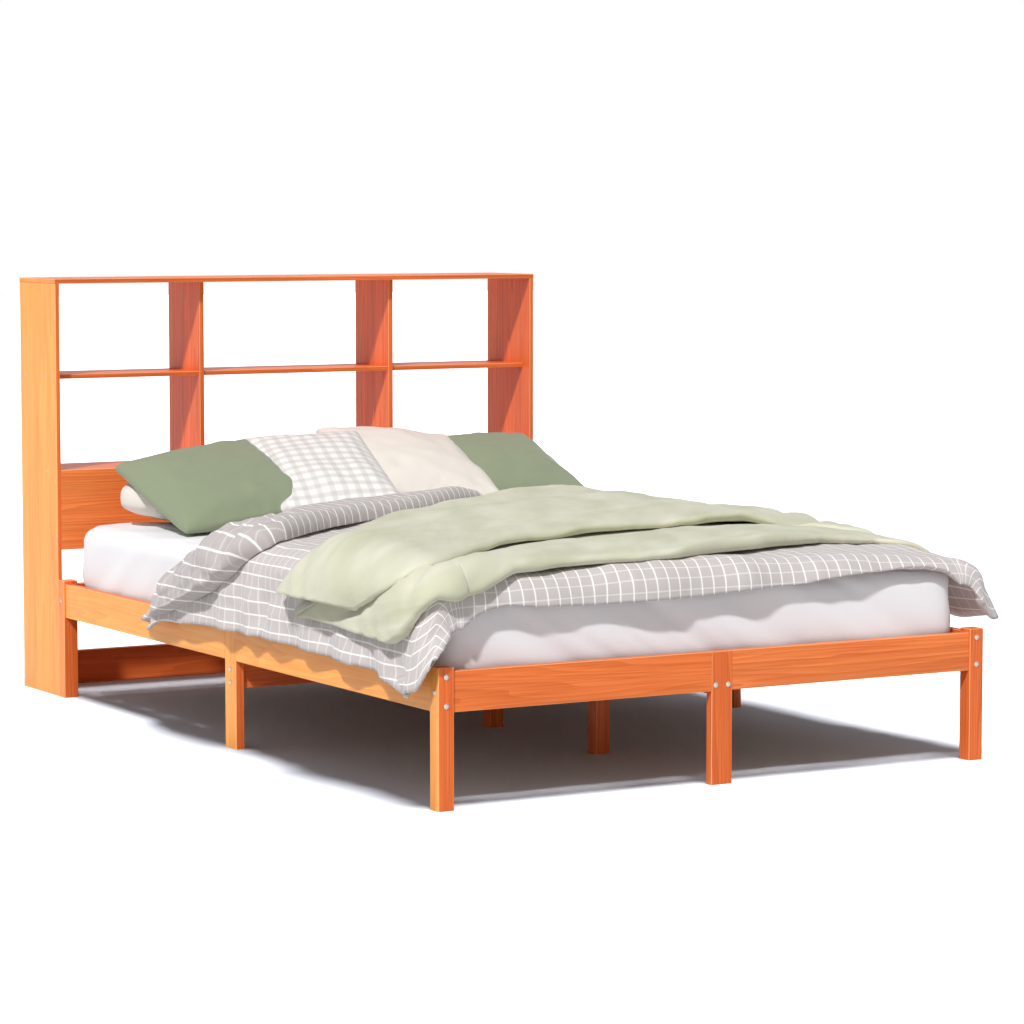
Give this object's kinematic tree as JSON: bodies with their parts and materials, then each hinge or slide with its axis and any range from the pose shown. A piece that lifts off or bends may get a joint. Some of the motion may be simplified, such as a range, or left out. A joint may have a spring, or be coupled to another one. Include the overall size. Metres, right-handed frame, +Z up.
{
  "type": "bookcase headboard bed",
  "caption": "Low pine double bed on square legs with an open bookcase as its headboard, made up with mattress, duvet, throw and pillows.",
  "frame": {"origin": "on the floor under the middle centre leg, half way between foot rail and head rail", "axes": "+Z up, +Y towards the bookcase, +X to the right seen from the foot end"},
  "size_m": [1.5538, 2.3289, 1.103],
  "materials": {
    "stained_pine": "satin",
    "slat_pine": "matte",
    "beech_dowel": "matte",
    "plated_steel": "satin",
    "webbing": "matte",
    "fitted_sheet": "matte",
    "duvet_cover": "matte",
    "throw": "matte",
    "sage_pillow": "matte",
    "checked_pillow": "matte",
    "cream_pillow": "matte"
  },
  "bodies": {
    "bed_frame": {"side_panel_left": "stained_pine", "side_panel_right": "stained_pine", "top_board": "stained_pine", "divider_left": "stained_pine", "divider_right": "stained_pine", "mid_shelf_left": "stained_pine", "mid_shelf_centre": "stained_pine", "mid_shelf_right": "stained_pine", "lower_shelf": "stained_pine", "headboard_panel": "stained_pine", "back_stretcher": "stained_pine", "foot_leg_left": "stained_pine", "foot_leg_right": "stained_pine", "head_leg_left": "stained_pine", "head_leg_right": "stained_pine", "foot_rail_left": "stained_pine", "foot_rail_right": "stained_pine", "foot_centre_post": "stained_pine", "side_rail_left_foot": "stained_pine", "side_rail_left_head": "stained_pine", "side_rail_right_foot": "stained_pine", "side_rail_right_head": "stained_pine", "mid_leg_left": "stained_pine", "mid_leg_right": "stained_pine", "head_rail": "stained_pine", "cross_beam": "stained_pine", "centre_beam_foot": "stained_pine", "centre_beam_head": "stained_pine", "centre_leg_foot": "stained_pine", "centre_leg_middle": "stained_pine", "centre_leg_head": "stained_pine", "ledger_left_foot": "stained_pine", "ledger_left_head": "stained_pine", "ledger_right_foot": "stained_pine", "ledger_right_head": "stained_pine", "slat_01": "slat_pine", "slat_02": "slat_pine", "slat_03": "slat_pine", "slat_04": "slat_pine", "slat_05": "slat_pine", "slat_06": "slat_pine", "slat_07": "slat_pine", "slat_08": "slat_pine", "slat_09": "slat_pine", "slat_10": "slat_pine", "slat_11": "slat_pine", "slat_12": "slat_pine", "slat_tapes": "webbing", "frame_bolts": "plated_steel", "barrel_nuts": "plated_steel", "dowels": "beech_dowel", "bookcase_screws": "plated_steel"},
    "bedding": {"mattress": "fitted_sheet", "duvet": "duvet_cover", "throw_blanket": "throw", "pillow_green_left": "sage_pillow", "pillow_green_right": "sage_pillow", "pillow_checked": "checked_pillow", "pillow_cream": "cream_pillow", "pillow_cream_lying": "cream_pillow"}
  },
  "joints": [
    {"name": "mattress_lift", "type": "slide", "parent": "bed_frame", "child": "bedding", "axis": [0, 0, 1], "range_m": [0, 0.4]}
  ]
}
